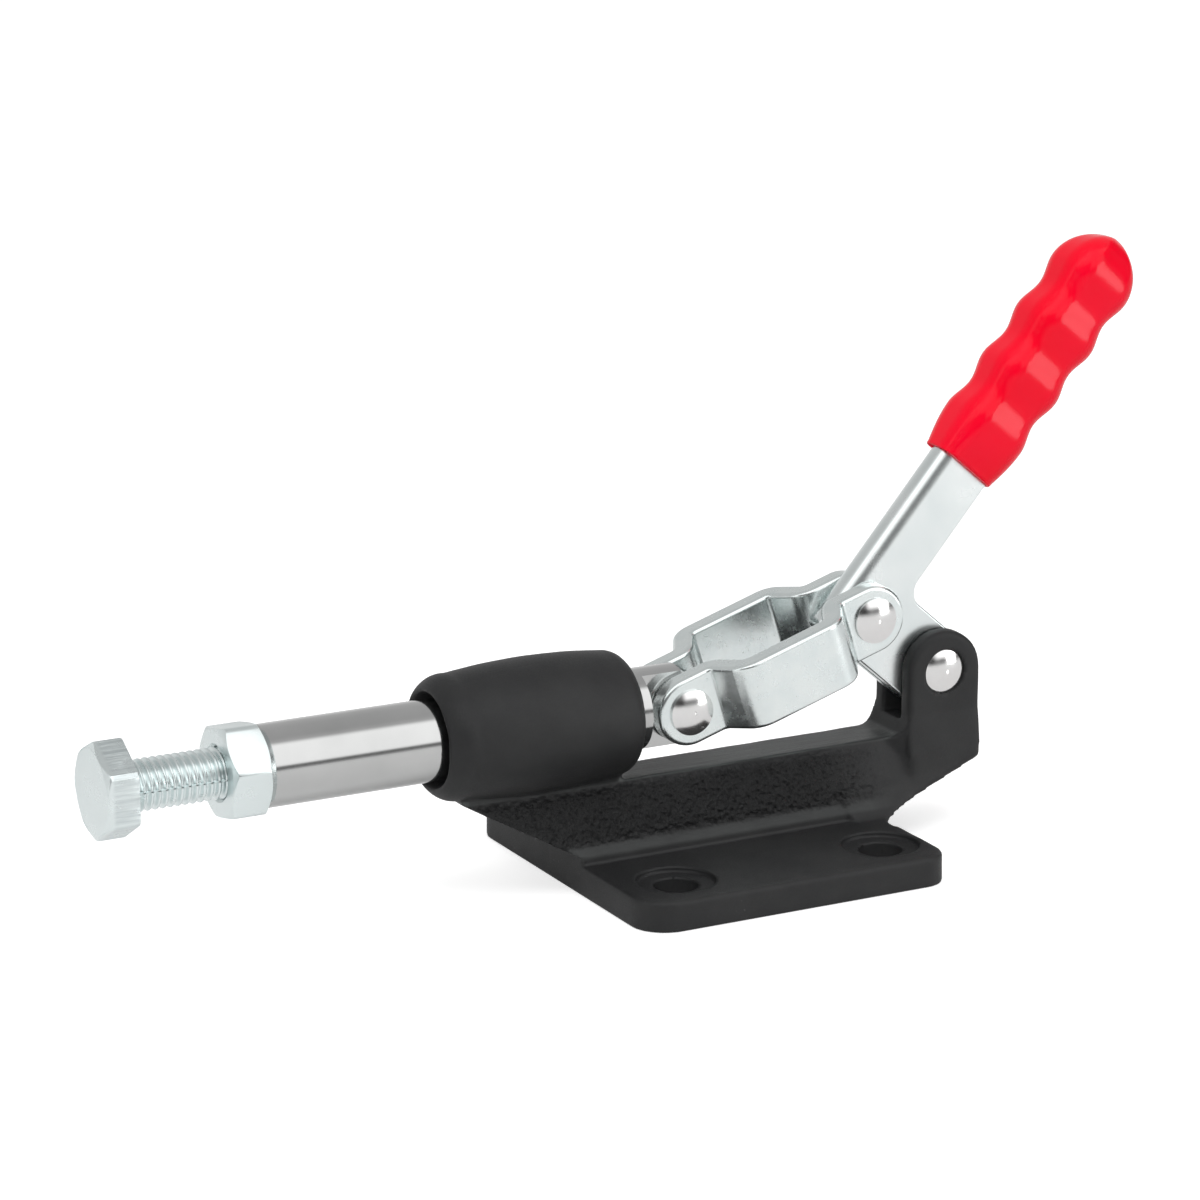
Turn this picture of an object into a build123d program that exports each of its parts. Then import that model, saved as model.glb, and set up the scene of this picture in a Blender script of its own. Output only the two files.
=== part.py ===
"""Push-pull toggle clamp: cast base with a guided plunger, strap links and a lever handle.

Frame: +X is the way the plunger pushes, +Z is up, and the clamp is alike on both sides of
the XZ plane.  The origin is the middle of the four base holes, on the underside of the base.
All sizes are in millimetres.
"""
from build123d import *
import math
import os

os.makedirs("parts", exist_ok=True)

# ---------------------------------------------------------------- driving sizes
# Running lines
axis_height = 33.0          # plunger axis, and the lever pivot, above the underside
plunger_diameter = 16.0
plunger_pivot_x = 9.54      # links' pivot in the plunger's tongue, as modelled
crank_length = 21.5         # lever pivot to the lever's link pivot
link_length = 43.4          # link pivot to link pivot
crank_angle = 37.5          # rise of the crank above the +X axis as modelled
lobe_angle = 40.9           # rise of the lever's lobe above the +X axis as modelled

# Base flange
hole_pitch_x = 45.6
hole_pitch_y = 51.0
hole_radius = 4.4
spotface_radius = 7.8
spotface_depth = 1.1
front_margin = 12.2         # from the holes' lines to the flange's edges
rear_margin = 9.5
side_margin = 11.7
plate_thickness = 6.2
plate_front_corner = 7.2
plate_rear_corner = 5.5
plate_edge_round = 0.9

# Base web, rail and upright
rail_half_width = 5.0
rail_gap = 4.4              # from the plunger's underside down to the rail
web_foot_rise = 1.8         # top of the web's upright foot, above the flange
web_foot_step = 1.4         # how far the foot stands outside the web's slope
web_slope_rise = 3.4        # where the web's slope starts, above the flange
web_top_sink = 1.6          # how far the web's top stays outside the plunger's bore
web_nose_x = 58.0
web_nose_drop = 0.3         # below the barrel's front round
web_chin_rise = 1.4         # where the slanted front of the web meets the flange
foot_round = 1.3
foot_corner_round = 0.5
slope_corner_round = 1.2
ear_wall = 3.6              # metal each side of the slot
ear_draft = 1.9             # the upright is this much wider each side at its root
ear_root_drop = 8.2         # below the lever pivot
ear_radius = 8.3
ear_edge_round = 1.1
slot_floor_gap = 0.8        # under the lever's lobe when it hangs straight down
neck_rear_gap = 0.6         # the upright narrows to the rail between these, ahead of the ears
neck_front_gap = 6.1
neck_step = 0.5             # the neck ends this far inside the rail's edge
flare_reach = 6.2           # the upright's foot spreads this far on the flange's rear edge
flare_radius = 7.5
flare_run = 8.3             # from the flange's rear edge to the end of the flare
flare_end_radius = 9.0
saddle_share = 0.54         # half width of the blend under the barrel, over the barrel's radius
saddle_round = 2.4
saddle_lift = 1.0           # how far the blend runs on inside the barrel
saddle_nip = 0.5            # how far the blend is drawn in at its two ends
saddle_taper = 3.0          # length of each drawn-in end
upright_inner_round = 4.0
underside_front_drop = 0.6  # below the flange's top, where the slanted underside starts
underside_rear_height = 14.3

# Barrel: lengths along the axis, and metal outside the plunger's radius
barrel_rear = 21.4
barrel_length = 41.5
barrel_crown_reach = 19.6
barrel_crown_wall = 5.4
barrel_rear_round = 3.2
barrel_rear_wall = 4.4
barrel_rear_rim_wall = 2.9
barrel_rear_bulge = (1.0, 0.6)      # mid-point of the rear rim's arc, in from its corner
barrel_front_round = 5.5
barrel_front_wall = 4.3
barrel_front_rim_wall = 2.0
barrel_front_bulge = (1.5, 0.8)
barrel_bite = 1.5           # how far the web and its blend start inside the barrel's rear rim
rear_mouth_flare = 2.4
front_mouth_flare = 1.5
mouth_length = 4.0

# Plunger
plunger_front = 98.5
plunger_chamfer = 0.8
tongue_edge_break = 0.3
shoulder_reach = 8.66       # from the links' pivot to where the bar is flattened
tongue_gap = 0.2            # each side, between the tongue and the links' faces
tongue_inset = 1.1          # radius of the tongue's end, inside the plunger's radius
seat_slope = 45.0           # the open side of the pin seat falls away at this angle

# Spindle and nut
thread_diameter = 10.0
across_flats = 17.0
hex_chamfer_angle = 30.0
head_thickness = 6.4
thread_length = 45.0
thread_exposed = 18.5       # between the nut and the head
nut_thickness = 8.0
nut_turn = -19.0            # how far the nut's corners are turned from the upright
nut_bore_chamfer = 0.6
tapped_depth = 40.0
spindle_chamfer = 1.0

# Strap links
strap_thickness = 4.2
strap_half_width = 6.9
bow_gap = 2.6               # between the plunger and the inside of a link's middle
bow_angle = 60.0
crease_gap = 1.55           # from the edge of a rivet's head to the first bend
bend_radius = 1.2
strap_edge_round = 0.9

# Lever handle: (u, v) are along the arm and square to it, forwards, from the lever pivot
lever_half_width = 3.2
lever_sheet = 2.5
arm_front_margin = 7.0      # from the link pivot to the front of the arm
arm_width = 13.1
arm_top = 83.0
lobe_low = -8.8
lobe_high = 7.5
notch_radius = 3.6
toe_radius = 2.2
flange_edge_round = 0.4

# Hand grip: depths run with the arm's width, widths across the two flanges
grip_start = 34.6
grip_set_back = 0.25        # the grip's middle sits this far behind the arm's
grip_depth_wall = 1.95
grip_width_wall = 3.4
grip_rim_depth_wall = 0.85
grip_rim_width_wall = 1.7
grip_corner_share = 0.7     # corner radius over half width
grip_length = 56.1
grip_peak_power = 0.62      # 0.5 would make the peak an ellipse; more is more pointed
peak_shares = (0.25, 0.45, 0.64, 0.8, 0.91, 0.975)
finger_first = 9.4          # first crest, from the grip's rim
finger_pitch = 12.3
finger_count = 3
finger_depth = 1.1          # dips of the front and rear edges
finger_face_depth = 0.8     # dips of the broad faces

# Rivets
rivet_radius = 3.0
rivet_head_overhang = 1.55
rivet_head_edge = 0.5
rivet_head_crown = 0.9
pin_recess_depth = 1.0

# Fits and clearances
running_fit = 0.06          # radial, a turning pin or the sliding plunger
close_fit = 0.02            # radial, a pin that does not turn in its hole
thread_fit = 0.08           # radial, the plain cylinders that stand for the thread
side_gap = 0.1              # between parts that slide or turn face to face
recess_gap = 0.08
grip_gap = 0.05
cut_over = 1.0              # how far a cut runs past the faces it opens

# ---------------------------------------------------------------- derived places
plunger_radius = plunger_diameter / 2
crank_rise = crank_length * math.sin(math.radians(crank_angle))
crank_run = crank_length * math.cos(math.radians(crank_angle))
link_run = math.sqrt(link_length**2 - crank_rise**2)
link_pivot_x = plunger_pivot_x - link_run
base_pivot_x = link_pivot_x - crank_run
base_pivot = (base_pivot_x, 0, axis_height)
link_pivot = (link_pivot_x, 0, axis_height + crank_rise)
plunger_pivot = (plunger_pivot_x, 0, axis_height)

slot_half_width = lever_half_width + side_gap
strap_inner = lever_half_width + side_gap
strap_outer = strap_inner + strap_thickness
tongue_half_thickness = strap_inner - tongue_gap
tongue_radius = plunger_radius - tongue_inset
shoulder_x = plunger_pivot_x + shoulder_reach

plate_front = hole_pitch_x / 2 + front_margin
plate_rear = -hole_pitch_x / 2 - rear_margin
plate_half_width = hole_pitch_y / 2 + side_margin
ear_rear = base_pivot_x - ear_radius
ear_front = base_pivot_x + ear_radius
ear_half_width = slot_half_width + ear_wall
ear_root_height = axis_height - ear_root_drop
slot_floor_height = axis_height + lobe_low - slot_floor_gap
web_slope_half_width = ear_half_width + ear_draft
web_slope_height = plate_thickness + web_slope_rise
web_foot_half_width = web_slope_half_width + web_foot_step
web_foot_height = plate_thickness + web_foot_rise
rail_height = axis_height - plunger_radius - rail_gap
web_top_height = axis_height - plunger_radius - web_top_sink
flank_run = (web_slope_half_width - rail_half_width) / (rail_height - web_slope_height)
flare_half_width = web_slope_half_width + flare_reach
flare_end = plate_rear + flare_run

barrel_front = barrel_rear + barrel_length
barrel_crown_x = barrel_rear + barrel_crown_reach
barrel_rear_round_x = barrel_rear + barrel_rear_round
barrel_front_round_x = barrel_front - barrel_front_round
barrel_crown_radius = plunger_radius + barrel_crown_wall
barrel_rear_radius = plunger_radius + barrel_rear_wall
barrel_rear_rim_radius = plunger_radius + barrel_rear_rim_wall
barrel_front_radius = plunger_radius + barrel_front_wall
barrel_front_rim_radius = plunger_radius + barrel_front_rim_wall
web_start_x = barrel_rear + barrel_bite
web_nose_height = axis_height - barrel_front_radius - web_nose_drop

thread_radius = thread_diameter / 2
hex_radius = across_flats / math.sqrt(3)
hex_corner_rise = (hex_radius - across_flats / 2) * math.tan(math.radians(hex_chamfer_angle))
nut_rear = plunger_front + side_gap
nut_front = nut_rear + nut_thickness
nut_bore = thread_radius + thread_fit
head_rear = nut_front + thread_exposed

rivet_head_radius = rivet_radius + rivet_head_overhang
crease_reach = rivet_head_radius + crease_gap
bow_rise = plunger_radius + bow_gap - strap_inner

arm_front = crank_length + arm_front_margin
arm_rear = arm_front - arm_width
arm_middle = (arm_front + arm_rear) / 2
grip_half_depth = arm_width / 2 + grip_depth_wall
grip_half_width = lever_half_width + grip_width_wall
grip_rim_half_depth = arm_width / 2 + grip_rim_depth_wall
grip_rim_half_width = lever_half_width + grip_rim_width_wall


def side_plane(origin=(0, 0, 0), turn=0.0):
    """Plane square to Y; its x is +X turned up by `turn` degrees, its y is square to that."""
    rise = math.radians(turn)
    return Plane(origin=origin, x_dir=(math.cos(rise), 0, math.sin(rise)), z_dir=(0, -1, 0))


# ---------------------------------------------------------------- base casting
# Barrel: a turned outline about the plunger axis, open at both ends.
with BuildPart() as barrel:
    with BuildSketch(Plane.XZ):
        with BuildLine():
            rear_rim = (barrel_rear, axis_height + barrel_rear_rim_radius)
            rear_end = (barrel_rear_round_x, axis_height + barrel_rear_radius)
            crown = (barrel_crown_x, axis_height + barrel_crown_radius)
            front_start = (barrel_front_round_x, axis_height + barrel_front_radius)
            front_rim = (barrel_front, axis_height + barrel_front_rim_radius)
            rear_mid = (barrel_rear + barrel_rear_bulge[0], rear_end[1] - barrel_rear_bulge[1])
            front_mid = (barrel_front - barrel_front_bulge[0], front_start[1] - barrel_front_bulge[1])
            Line((barrel_rear, axis_height), rear_rim)
            ThreePointArc(rear_rim, rear_mid, rear_end)
            ThreePointArc(rear_end, crown, front_start)
            ThreePointArc(front_start, front_mid, front_rim)
            Polyline(front_rim, (barrel_front, axis_height), (barrel_rear, axis_height))
        make_face()
    revolve(axis=Axis((0, 0, axis_height), (1, 0, 0)))

# Root of the upright: drafted cross-section run along X, drawn in to the width of the rail.
with BuildPart() as upright_root:
    with BuildSketch(Plane.YZ.offset(ear_rear)):
        with BuildLine():
            Polyline(
                (0, 0), (web_slope_half_width, 0), (web_slope_half_width, web_slope_height),
                (ear_half_width, ear_root_height), (0, ear_root_height), close=True,
            )
        make_face()
        mirror(about=Plane.YZ)
    extrude(amount=ear_front + neck_front_gap - ear_rear)
    with BuildSketch():
        with BuildLine():
            Polyline(
                (ear_rear, 0), (ear_rear, web_slope_half_width),
                (ear_front + neck_rear_gap, web_slope_half_width),
                (ear_front + neck_rear_gap, ear_half_width),
                (ear_front + neck_front_gap, rail_half_width - neck_step),
                (ear_front + neck_front_gap, 0), close=True,
            )
        make_face()
        mirror(about=Plane.XZ)
    extrude(amount=ear_root_height, mode=Mode.INTERSECT)
    rear_edges = upright_root.edges().filter_by(Axis.X, reverse=True).group_by(Axis.X)[0]
    fillet(rear_edges.filter_by(Axis.Y, reverse=True), radius=ear_edge_round)

# Ears: one plate with its outer edges rounded, still in one piece across the slot.
with BuildPart() as ears:
    with BuildSketch(Plane.XZ):
        with Locations((base_pivot_x, (axis_height + underside_rear_height) / 2)):
            Rectangle(2 * ear_radius, axis_height - underside_rear_height)
        with Locations((base_pivot_x, axis_height)):
            Circle(ear_radius)
    extrude(amount=ear_half_width, both=True)
    outer_faces = ears.faces().filter_by(Axis.Y)
    outer_edges = outer_faces.edges().filter_by(Axis.X, reverse=True)
    fillet(outer_edges, radius=ear_edge_round)

# Saddle: soft blend where the web runs up into the barrel.  Its upper sides leave the barrel
# square to the barrel's surface and meet the web's slopes in a rounded corner.
saddle_half_width = saddle_share * barrel_front_radius
saddle_drop = math.sqrt(barrel_front_radius**2 - saddle_half_width**2)
saddle_rise = saddle_half_width / saddle_drop
saddle_top = axis_height - saddle_drop
saddle_start = rail_height - 2 * saddle_round
corner_y = (
    (rail_half_width + flank_run * (rail_height - saddle_top + saddle_rise * saddle_half_width))
    / (1 + flank_run * saddle_rise)
)
corner_z = saddle_top - saddle_rise * (saddle_half_width - corner_y)

with BuildPart() as saddle:
    with BuildSketch(Plane.YZ.offset(web_start_x)):
        with BuildLine():
            Polyline(
                (0, saddle_start),
                (rail_half_width + flank_run * (rail_height - saddle_start), saddle_start),
                (corner_y, corner_z), (saddle_half_width, saddle_top),
                (rail_half_width, saddle_top + saddle_lift), (0, saddle_top + saddle_lift), close=True,
            )
        make_face()
        fillet(vertices().sort_by_distance((corner_y, corner_z))[0], radius=saddle_round)
        mirror(about=Plane.YZ)
    extrude(amount=web_nose_x - web_start_x)
    with BuildSketch():
        with BuildLine():
            Polyline(
                (web_start_x, 0), (web_start_x, corner_y - saddle_nip),
                (barrel_rear_round_x + saddle_taper, saddle_half_width + saddle_nip),
                (barrel_front_round_x - saddle_taper, saddle_half_width + saddle_nip),
                (web_nose_x, corner_y - saddle_nip), (web_nose_x, 0), close=True,
            )
        make_face()
        mirror(about=Plane.XZ)
    extrude(amount=axis_height, mode=Mode.INTERSECT)

# Flare: the foot of the upright spreads over the rear edge of the flange in a hollow curve.
with BuildPart() as rear_flare:
    with BuildSketch(Plane.YZ.offset(ear_rear)):
        with BuildLine():
            flare_foot = (flare_half_width, plate_thickness - plate_edge_round)
            flare_head = (web_slope_half_width, web_slope_height + 2 * foot_round)
            Polyline(flare_head, (0, flare_head[1]), (0, 0), (flare_half_width, 0), flare_foot)
            RadiusArc(flare_foot, flare_head, flare_radius)
        make_face()
        mirror(about=Plane.YZ)
    extrude(amount=flare_end - ear_rear)
    with BuildSketch():
        with BuildLine():
            flare_turn = (plate_rear + plate_edge_round, flare_half_width)
            flare_tip = (flare_end, web_slope_half_width)
            Polyline(
                flare_tip, (flare_end, 0), (ear_rear, 0),
                (ear_rear, flare_half_width), flare_turn,
            )
            RadiusArc(flare_turn, flare_tip, flare_end_radius)
        make_face()
        mirror(about=Plane.XZ)
    extrude(amount=2 * web_slope_height, mode=Mode.INTERSECT)

# Web, rail and upright in one: cross-sections run along X, then trimmed to the side outline.
with BuildPart() as web:
    with BuildSketch(Plane.YZ.offset(ear_rear)):
        with BuildLine():
            top_half_width = rail_half_width - flank_run * (web_top_height - rail_height)
            foot_corner = (web_foot_half_width, web_foot_height)
            slope_corner = (web_slope_half_width, web_slope_height)
            Polyline(
                (0, 0), (web_foot_half_width + foot_round, 0),
                (web_foot_half_width + foot_round, plate_thickness),
                (web_foot_half_width, plate_thickness), foot_corner, slope_corner,
                (top_half_width, web_top_height), (0, web_top_height), close=True,
            )
        make_face()
        fillet(vertices().sort_by_distance(foot_corner)[0], radius=foot_corner_round)
        fillet(vertices().sort_by_distance(slope_corner)[0], radius=slope_corner_round)
        mirror(about=Plane.YZ)
    extrude(amount=web_nose_x - ear_rear)
    add(upright_root.part)
    add(rear_flare.part)
    add(saddle.part)
    with BuildSketch(Plane.XZ):
        with BuildLine():
            Polyline(
                (ear_front, ear_root_height), (ear_front, rail_height), (web_start_x, rail_height),
                (barrel_rear_round_x, web_top_height), (web_nose_x, web_top_height),
                (web_nose_x, web_nose_height), (plate_front, plate_thickness + web_chin_rise),
                (plate_front, 0), (plate_rear, 0), (plate_rear, plate_thickness - underside_front_drop),
                (ear_rear, underside_rear_height), (ear_rear, ear_root_height), close=True,
            )
        make_face()
        fillet(vertices().sort_by_distance((ear_front, rail_height))[0], radius=upright_inner_round)
    extrude(amount=2 * flare_half_width, both=True, mode=Mode.INTERSECT)

with BuildPart() as base_casting:
    with BuildSketch():
        with Locations(((plate_front + plate_rear) / 2, 0)):
            Rectangle(plate_front - plate_rear, 2 * plate_half_width)
        fillet(vertices().group_by(Axis.X)[-1], radius=plate_front_corner)
        fillet(vertices().group_by(Axis.X)[0], radius=plate_rear_corner)
    extrude(amount=plate_thickness)
    fillet(faces().sort_by(Axis.Z)[-1].outer_wire().edges(), radius=plate_edge_round)
    add(web.part)
    add(ears.part)
    add(barrel.part)
    # Bore for the plunger, flared at both mouths.
    with BuildSketch(Plane.XZ):
        with BuildLine():
            bore_wall = axis_height + plunger_radius + running_fit
            rear_mouth = axis_height + plunger_radius + rear_mouth_flare
            front_mouth = axis_height + plunger_radius + front_mouth_flare
            Polyline(
                (barrel_rear - cut_over, axis_height), (barrel_rear - cut_over, rear_mouth),
                (barrel_rear, rear_mouth), (barrel_rear + mouth_length, bore_wall),
                (barrel_front - mouth_length, bore_wall), (barrel_front, front_mouth),
                (barrel_front + cut_over, front_mouth), (barrel_front + cut_over, axis_height),
                close=True,
            )
        make_face()
    revolve(axis=Axis((0, 0, axis_height), (1, 0, 0)), mode=Mode.SUBTRACT)
    # Slot between the ears for the lever's lobe.
    with BuildSketch(Plane.XZ):
        with BuildLine():
            Polyline(
                (ear_rear - cut_over, slot_floor_height), (ear_front + cut_over, slot_floor_height),
                (ear_front + cut_over, axis_height + 2 * ear_radius),
                (ear_rear - cut_over, axis_height + 2 * ear_radius), close=True,
            )
        make_face()
    extrude(amount=slot_half_width, both=True, mode=Mode.SUBTRACT)
    # Pin hole through both ears, recessed for the pin's heads.
    with BuildSketch(side_plane(base_pivot)):
        Circle(rivet_radius + close_fit)
    extrude(amount=2 * ear_half_width, both=True, mode=Mode.SUBTRACT)
    for side in (1, -1):
        with BuildSketch(Plane.XZ.offset(side * (ear_half_width - pin_recess_depth))):
            with Locations((base_pivot_x, axis_height)):
                Circle(rivet_head_radius + recess_gap)
        extrude(amount=side * 2 * pin_recess_depth, mode=Mode.SUBTRACT)
    with Locations(Plane.XY.offset(plate_thickness)):
        with GridLocations(hole_pitch_x, hole_pitch_y, 2, 2):
            CounterBoreHole(hole_radius, spotface_radius, spotface_depth)

base_casting.part.label = "base_casting"
export_step(base_casting.part, "parts/base_casting.step")

# ---------------------------------------------------------------- plunger
# Ground bar, tapped at the nose and flattened to a tongue at the rear.  The pin seat in the
# tongue is open behind and below, so that the links' pin can leave it a little.
with BuildPart() as plunger:
    with BuildSketch(Plane.YZ.offset(plunger_pivot_x - tongue_radius)):
        with Locations((0, axis_height)):
            Circle(plunger_radius)
    extrude(amount=plunger_front - plunger_pivot_x + tongue_radius)
    chamfer(plunger.faces().sort_by(Axis.X)[-1].edges(), length=plunger_chamfer)
    chamfer(plunger.edges().sort_by(Axis.X)[0], length=tongue_edge_break)
    for side in (1, -1):
        with BuildSketch(Plane.XZ.offset(side * tongue_half_thickness)):
            with Locations((shoulder_x - 2 * tongue_radius, axis_height)):
                Rectangle(4 * tongue_radius, 3 * plunger_radius)
        extrude(amount=side * plunger_radius, mode=Mode.SUBTRACT)
    # Rounded rear end about the pin.
    with BuildSketch(Plane.XZ):
        with Locations((plunger_pivot_x - tongue_radius, axis_height)):
            Rectangle(2 * tongue_radius, 3 * plunger_radius)
        with Locations((plunger_pivot_x, axis_height)):
            Circle(tongue_radius, mode=Mode.SUBTRACT)
    extrude(amount=plunger_radius, both=True, mode=Mode.SUBTRACT)
    # Pin seat.
    with BuildSketch(side_plane(plunger_pivot)):
        seat_radius = rivet_radius + side_gap
        seat_reach = 2 * tongue_radius
        fall = math.radians(seat_slope)
        seat_foot = (seat_radius * math.cos(fall), -seat_radius * math.sin(fall))
        Circle(seat_radius)
        with BuildLine():
            Polyline(
                (0, 0), (0, seat_radius), (-seat_reach, seat_radius), (-seat_reach, -seat_reach),
                (seat_foot[0] - seat_reach * math.sin(fall), seat_foot[1] - seat_reach * math.cos(fall)),
                seat_foot, close=True,
            )
        make_face()
    extrude(amount=plunger_radius, both=True, mode=Mode.SUBTRACT)
    with BuildSketch(Plane.YZ.offset(plunger_front)):
        with Locations((0, axis_height)):
            Circle(thread_radius + thread_fit)
    extrude(amount=-tapped_depth, mode=Mode.SUBTRACT)

plunger.part.label = "plunger"
export_step(plunger.part, "parts/plunger.step")


# ---------------------------------------------------------------- spindle and lock nut
def turned_hex(start, thickness, turn, rear_cut, front_cut):
    """Hexagonal bar across the flats, with its corners turned off by the given lengths."""
    flat_radius = across_flats / 2
    corner_radius = hex_radius + close_fit
    outline = [(start, 0.0)]
    if rear_cut:
        outline.append((start, flat_radius))
    outline.append((start + rear_cut, corner_radius))
    outline.append((start + thickness - front_cut, corner_radius))
    if front_cut:
        outline.append((start + thickness, flat_radius))
    outline.append((start + thickness, 0.0))
    with BuildPart() as bar:
        with BuildSketch(Plane.YZ.offset(start)):
            with Locations((0, axis_height)):
                RegularPolygon(hex_radius, 6, rotation=90 + turn)
        extrude(amount=thickness)
        with BuildSketch(side_plane((0, 0, axis_height))):
            with BuildLine():
                Polyline(*outline, close=True)
            make_face()
        revolve(axis=Axis((0, 0, axis_height), (1, 0, 0)), mode=Mode.INTERSECT)
    return bar.part


bolt_head = turned_hex(head_rear, head_thickness, 0, 0, hex_corner_rise)
with BuildPart() as spindle_bolt:
    add(bolt_head)
    with BuildSketch(Plane.YZ.offset(head_rear)):
        with Locations((0, axis_height)):
            Circle(thread_radius)
    extrude(amount=-thread_length)
    chamfer(spindle_bolt.faces().sort_by(Axis.X)[0].edges(), length=spindle_chamfer)

spindle_bolt.part.label = "spindle_bolt"
export_step(spindle_bolt.part, "parts/spindle_bolt.step")

nut_blank = turned_hex(nut_rear, nut_thickness, nut_turn, hex_corner_rise, hex_corner_rise)
with BuildPart() as lock_nut:
    add(nut_blank)
    with BuildSketch(Plane.YZ.offset(nut_rear)):
        with Locations((0, axis_height)):
            Circle(nut_bore)
    extrude(amount=nut_thickness, mode=Mode.SUBTRACT)
    bore_wall_face = lock_nut.faces().filter_by(GeomType.CYLINDER).sort_by(SortBy.AREA)[-1]
    chamfer(bore_wall_face.edges().filter_by(GeomType.CIRCLE), length=nut_bore_chamfer)

lock_nut.part.label = "lock_nut"
export_step(lock_nut.part, "parts/lock_nut.step")

# ---------------------------------------------------------------- strap links
# Each link is a strap bowed outwards between its two round ears.  Its own planes have x from
# the plunger pivot to the lever's link pivot.
link_rise = math.atan2(crank_rise, -link_run)
link_along = Vector(math.cos(link_rise), 0, math.sin(link_rise))
link_across = Vector(-math.sin(link_rise), 0, math.cos(link_rise))


def bowed_face(inset):
    """One face of the bent strap seen along its width, as points from ear to ear."""
    slope = math.radians(bow_angle)
    shift = inset * math.tan(slope / 2)
    first = crease_reach + shift
    second = crease_reach + bow_rise / math.tan(slope) + shift
    low = strap_outer - inset
    high = low + bow_rise
    end = strap_half_width + cut_over
    return [
        (-end, low), (first, low), (second, high),
        (link_length - second, high), (link_length - first, low), (link_length + end, low),
    ]


def strap_link(side):
    """One link, on the +Y side for side = 1 and mirrored for side = -1."""
    edge_on = Plane(origin=plunger_pivot, x_dir=link_along, z_dir=side * link_across)
    flat_on = Plane(origin=plunger_pivot, x_dir=link_along, z_dir=(0, side, 0))
    outer_face = bowed_face(0.0)
    inner_face = bowed_face(strap_thickness)
    outer_bends = (bend_radius, bend_radius + strap_thickness)
    inner_bends = (outer_bends[1], outer_bends[0])
    with BuildPart() as strap:
        with BuildSketch(edge_on):
            with BuildLine():
                Polyline(*outer_face, *reversed(inner_face), close=True)
            make_face()
            for face, bends in ((outer_face, outer_bends), (inner_face, inner_bends)):
                for index, radius in ((1, bends[0]), (2, bends[1]), (3, bends[1]), (4, bends[0])):
                    fillet(vertices().sort_by_distance(face[index])[0], radius=radius)
        extrude(amount=strap_half_width + cut_over, both=True)
        with BuildSketch(flat_on):
            with Locations((link_length / 2, 0)):
                SlotCenterToCenter(link_length, 2 * strap_half_width)
        extrude(amount=2 * (strap_outer + bow_rise), both=True, mode=Mode.INTERSECT)
        # Round every edge of the outline, and leave the bend lines across the strap.
        outline_edges = strap.edges().filter_by(
            lambda edge: max(
                abs(edge.tangent_at(0.5).dot(link_across)), abs(edge.tangent_at(0.5).Y)
            ) < 0.99
        )
        fillet(outline_edges, radius=strap_edge_round)
        with BuildSketch(flat_on):
            Circle(rivet_radius + close_fit)
            with Locations((link_length, 0)):
                Circle(rivet_radius + running_fit)
        extrude(amount=2 * (strap_outer + bow_rise), both=True, mode=Mode.SUBTRACT)
    return strap.part


left_strap = strap_link(1)
with BuildPart() as link_left:
    add(left_strap)
link_left.part.label = "link_left"
export_step(link_left.part, "parts/link_left.step")

right_strap = strap_link(-1)
with BuildPart() as link_right:
    add(right_strap)
link_right.part.label = "link_right"
export_step(link_right.part, "parts/link_right.step")

# ---------------------------------------------------------------- lever handle
# Folded from one sheet: two flanges joined along the front by the fold.  In its plane x is v,
# forwards from the lever pivot, and y is u, along the arm.
lever_plane = side_plane(base_pivot, lobe_angle)
fold_plane = Plane(origin=base_pivot, x_dir=lever_plane.x_dir, z_dir=lever_plane.y_dir)

with BuildPart() as lever_handle:
    with BuildSketch(lever_plane):
        with BuildLine():
            Polyline(
                (0, lobe_low), (arm_front, lobe_low), (arm_front, arm_top),
                (arm_rear, arm_top), (arm_rear, lobe_high), (0, lobe_high), close=True,
            )
        make_face()
        fillet(vertices().sort_by_distance((arm_rear, lobe_high))[0], radius=notch_radius)
        fillet(vertices().sort_by_distance((arm_front, lobe_low))[0], radius=toe_radius)
        with Locations((0, (lobe_high + lobe_low) / 2)):
            Circle((lobe_high - lobe_low) / 2)
    extrude(amount=lever_half_width, both=True)
    # Sheared edges of both flanges, all but the front, where the fold is.
    flange_edges = lever_handle.faces().filter_by(Axis.Y).edges()
    fillet(flange_edges.filter_by(
        lambda edge: lever_plane.to_local_coords(edge.center()).X < arm_front - toe_radius
    ), radius=flange_edge_round)
    # Full round of the fold along the front.
    with BuildSketch(fold_plane):
        with BuildLine():
            fold_start = arm_front - lever_half_width
            Polyline(
                (fold_start, -lever_half_width), (-arm_front, -lever_half_width),
                (-arm_front, lever_half_width), (fold_start, lever_half_width),
            )
            ThreePointArc(
                (fold_start, -lever_half_width), (arm_front, 0), (fold_start, lever_half_width)
            )
        make_face()
    extrude(amount=2 * arm_top, both=True, mode=Mode.INTERSECT)
    # Space between the flanges, open behind and below.
    with BuildSketch(lever_plane):
        with BuildLine():
            Polyline(
                (arm_front - lever_sheet, 2 * lobe_low), (arm_front - lever_sheet, 2 * arm_top),
                (-arm_front, 2 * arm_top), (-arm_front, 2 * lobe_low), close=True,
            )
        make_face()
    extrude(amount=lever_half_width - lever_sheet, both=True, mode=Mode.SUBTRACT)
    with BuildSketch(lever_plane):
        with Locations((0, 0)):
            Circle(rivet_radius + running_fit)
    extrude(amount=2 * lever_half_width, both=True, mode=Mode.SUBTRACT)
    with BuildSketch(side_plane(link_pivot)):
        Circle(rivet_radius + close_fit)
    extrude(amount=2 * lever_half_width, both=True, mode=Mode.SUBTRACT)

lever_handle.part.label = "lever_handle"
export_step(lever_handle.part, "parts/lever_handle.step")


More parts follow.
